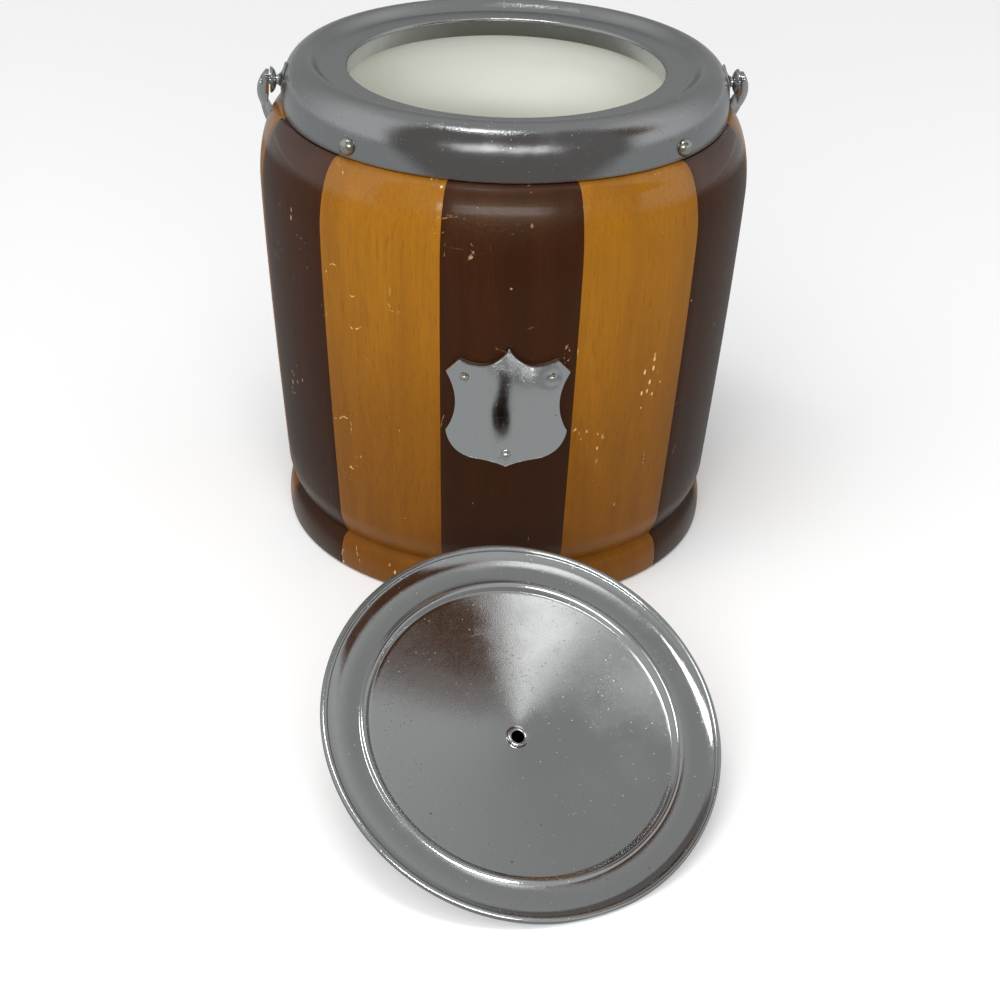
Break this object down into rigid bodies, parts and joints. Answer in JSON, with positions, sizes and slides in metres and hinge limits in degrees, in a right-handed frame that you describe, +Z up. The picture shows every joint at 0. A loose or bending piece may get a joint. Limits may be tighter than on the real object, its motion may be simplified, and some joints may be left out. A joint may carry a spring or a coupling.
{
  "type": "biscuit barrel",
  "caption": "Staved biscuit barrel in dark and honey wood with a chrome collar, cream glazed liner, swing bail and blank shield plaque; the lid lies upside down in front.",
  "frame": {"origin": "Centre of the base board's flat underside, on the barrel's axis and in the plane the barrel stands on.", "axes": "+Z up along the barrel's axis; the front with the shield plaque and the lid faces -Y; the bail's pivots lie along X turned by 1.9 degrees about Z."},
  "size_m": [0.1615, 0.3127, 0.1627],
  "materials": {
    "dark_wood": "dark red-brown hardwood under gloss varnish",
    "honey_wood": "amber oak under gloss varnish",
    "plain_wood": "plain unvarnished softwood board",
    "cream_glaze": null,
    "chrome": "bright chrome plate, lightly worn"
  },
  "bodies": {
    "barrel": {"stave_01": "dark_wood", "stave_02": "honey_wood", "stave_03": "dark_wood", "stave_04": "honey_wood", "stave_05": "dark_wood", "stave_06": "honey_wood", "stave_07": "dark_wood", "stave_08": "honey_wood", "stave_09": "dark_wood", "stave_10": "honey_wood", "stave_11": "dark_wood", "stave_12": "honey_wood", "base_board": "plain_wood", "liner": "cream_glaze", "collar": "chrome", "collar_pin_1": "chrome", "collar_pin_2": "chrome", "collar_pin_3": "chrome", "collar_pin_4": "chrome", "pivot_stud_left": "chrome", "pivot_stud_right": "chrome", "bail_washer_left": "chrome", "bail_washer_right": "chrome", "shield_plaque": "chrome", "plaque_pin_left": "chrome", "plaque_pin_right": "chrome", "plaque_pin_bottom": "chrome"},
    "bail": {"bail": "chrome"},
    "lid": {"lid_shell": "chrome", "knob_plate": "chrome", "knob": "dark_wood", "lid_rivet": "chrome"}
  },
  "joints": [
    {"name": "bail_swing", "type": "hinge", "parent": "barrel", "child": "bail", "pos_m": [0, 0, 0.1539], "axis": [0.9995, 0.0332, 0], "range_deg": [0, 250]},
    {"name": "lid_lift", "type": "slide", "parent": "barrel", "child": "lid", "axis": [0, 0, 1], "range_m": [0, 0.17]}
  ]
}
